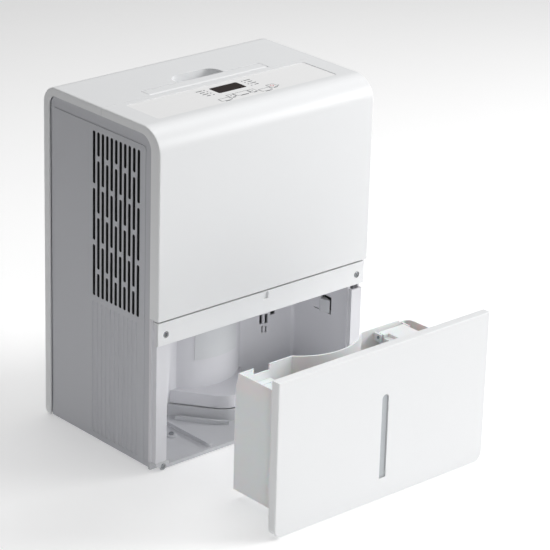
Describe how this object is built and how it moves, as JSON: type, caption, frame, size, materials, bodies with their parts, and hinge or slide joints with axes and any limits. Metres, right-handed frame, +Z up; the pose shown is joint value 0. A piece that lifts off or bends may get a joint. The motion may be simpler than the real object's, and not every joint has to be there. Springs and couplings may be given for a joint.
{
  "type": "dehumidifier",
  "caption": "Upright floor-standing dehumidifier with a slotted side grille, a top control fascia, a folding handle and a front water bucket on a slide.",
  "frame": {"origin": "on the floor under the middle of the appliance with its bucket drawn out", "axes": "+Z up; the front, with the bucket, faces -Y; the air grille is in the -X side"},
  "size_m": [0.386, 0.502, 0.5],
  "materials": {
    "white_abs": "moulded white ABS, satin",
    "frame_white": "moulded off-white polypropylene",
    "side_grey": "moulded light grey ABS, fine texture",
    "tank_white": "moulded white polypropylene",
    "window_grey": "smoked SAN level window",
    "black_gloss": "black tinted display window",
    "lamp_grey": "smoked acrylic light guide",
    "dark_plastic": "moulded dark grey plastic",
    "rubber": "moulded rubber",
    "label_silver": "blank printed film label",
    "screw_steel": "zinc plated steel",
    "galvanised": "galvanised sheet steel",
    "fin_aluminium": "bright fin stock",
    "copper": "drawn copper tube",
    "black_paint": "black enamelled steel shell",
    "board_green": "printed circuit board"
  },
  "bodies": {
    "casing": {"accumulator": "copper", "base_pan": "side_grey", "base_screw_left": "screw_steel", "base_screw_right": "screw_steel", "bay_floor_screw": "screw_steel", "blank_label": "label_silver", "bucket_switch": "dark_plastic", "compressor": "black_paint", "compressor_grommet_1": "rubber", "compressor_grommet_2": "rubber", "compressor_grommet_3": "rubber", "condenser": "fin_aluminium", "control_board": "board_green", "control_fascia": "white_abs", "cord_gland": "rubber", "discharge_pipe": "copper", "display_window": "black_gloss", "drain_plug": "rubber", "drain_spout": "dark_plastic", "drip_tray": "dark_plastic", "evaporator": "fin_aluminium", "fan_motor": "galvanised", "fan_scroll": "dark_plastic", "filter_frame": "white_abs", "filter_mesh": "dark_plastic", "foot_front_left": "rubber", "foot_front_right": "rubber", "foot_rear_left": "rubber", "foot_rear_right": "rubber", "front_cover": "white_abs", "front_frame": "side_grey", "front_strip": "frame_white", "handle_pin_left": "screw_steel", "handle_pin_right": "screw_steel", "left_lamp_guide": "lamp_grey", "left_side_panel": "side_grey", "partition_plate": "galvanised", "power_board_box": "dark_plastic", "rear_cover": "white_abs", "right_lamp_guide": "lamp_grey", "right_side_panel": "side_grey", "run_capacitor": "galvanised", "strip_screw_left": "screw_steel", "strip_screw_right": "screw_steel", "suction_pipe": "copper"},
    "bucket": {"bucket_panel": "white_abs", "water_tank": "tank_white", "level_window": "window_grey", "float_pin": "screw_steel"},
    "float": {"water_float": "tank_white"},
    "handle": {"carry_handle": "white_abs"},
    "switch_lever": {"bucket_lever": "side_grey"},
    "fan": {"fan_wheel": "dark_plastic"},
    "mode_button": {"mode_key": "white_abs"},
    "up_button": {"up_key": "white_abs"},
    "down_button": {"down_key": "white_abs"},
    "fan_speed_button": {"fan_speed_key": "white_abs"},
    "timer_button": {"timer_key": "white_abs"},
    "power_button": {"power_key": "white_abs"}
  },
  "joints": [
    {"name": "bucket_slide", "type": "slide", "parent": "casing", "child": "bucket", "axis": [0, -1, 0], "range_m": [-0.247, 0]},
    {"name": "float_swing", "type": "hinge", "parent": "bucket", "child": "float", "pos_m": [0.122, -0.1351, 0.176], "axis": [-1, 0, 0], "range_deg": [-2, 24]},
    {"name": "handle_fold", "type": "hinge", "parent": "casing", "child": "handle", "pos_m": [0, 0.1281, 0.4955], "axis": [1, 0, 0], "range_deg": [0, 80]},
    {"name": "switch_lever_pivot", "type": "slide", "parent": "casing", "child": "switch_lever", "axis": [1, 0, 0], "range_m": [0, 0.003], "stiffness_N_per_m": 300, "springref_m": -0.001},
    {"name": "fan_spin", "type": "hinge", "parent": "casing", "child": "fan", "pos_m": [0.03, 0.076, 0.345], "axis": [0, -1, 0], "continuous": true},
    {"name": "mode_press", "type": "slide", "parent": "casing", "child": "mode_button", "axis": [0, 0, -1], "range_m": [0, 0.0006], "stiffness_N_per_m": 400, "springref_m": -0.0004},
    {"name": "up_press", "type": "slide", "parent": "casing", "child": "up_button", "axis": [0, 0, -1], "range_m": [0, 0.0006], "stiffness_N_per_m": 400, "springref_m": -0.0004},
    {"name": "down_press", "type": "slide", "parent": "casing", "child": "down_button", "axis": [0, 0, -1], "range_m": [0, 0.0006], "stiffness_N_per_m": 400, "springref_m": -0.0004},
    {"name": "fan_speed_press", "type": "slide", "parent": "casing", "child": "fan_speed_button", "axis": [0, 0, -1], "range_m": [0, 0.0006], "stiffness_N_per_m": 400, "springref_m": -0.0004},
    {"name": "timer_press", "type": "slide", "parent": "casing", "child": "timer_button", "axis": [0, 0, -1], "range_m": [0, 0.0006], "stiffness_N_per_m": 400, "springref_m": -0.0004},
    {"name": "power_press", "type": "slide", "parent": "casing", "child": "power_button", "axis": [0, 0, -1], "range_m": [0, 0.0006], "stiffness_N_per_m": 400, "springref_m": -0.0004}
  ]
}
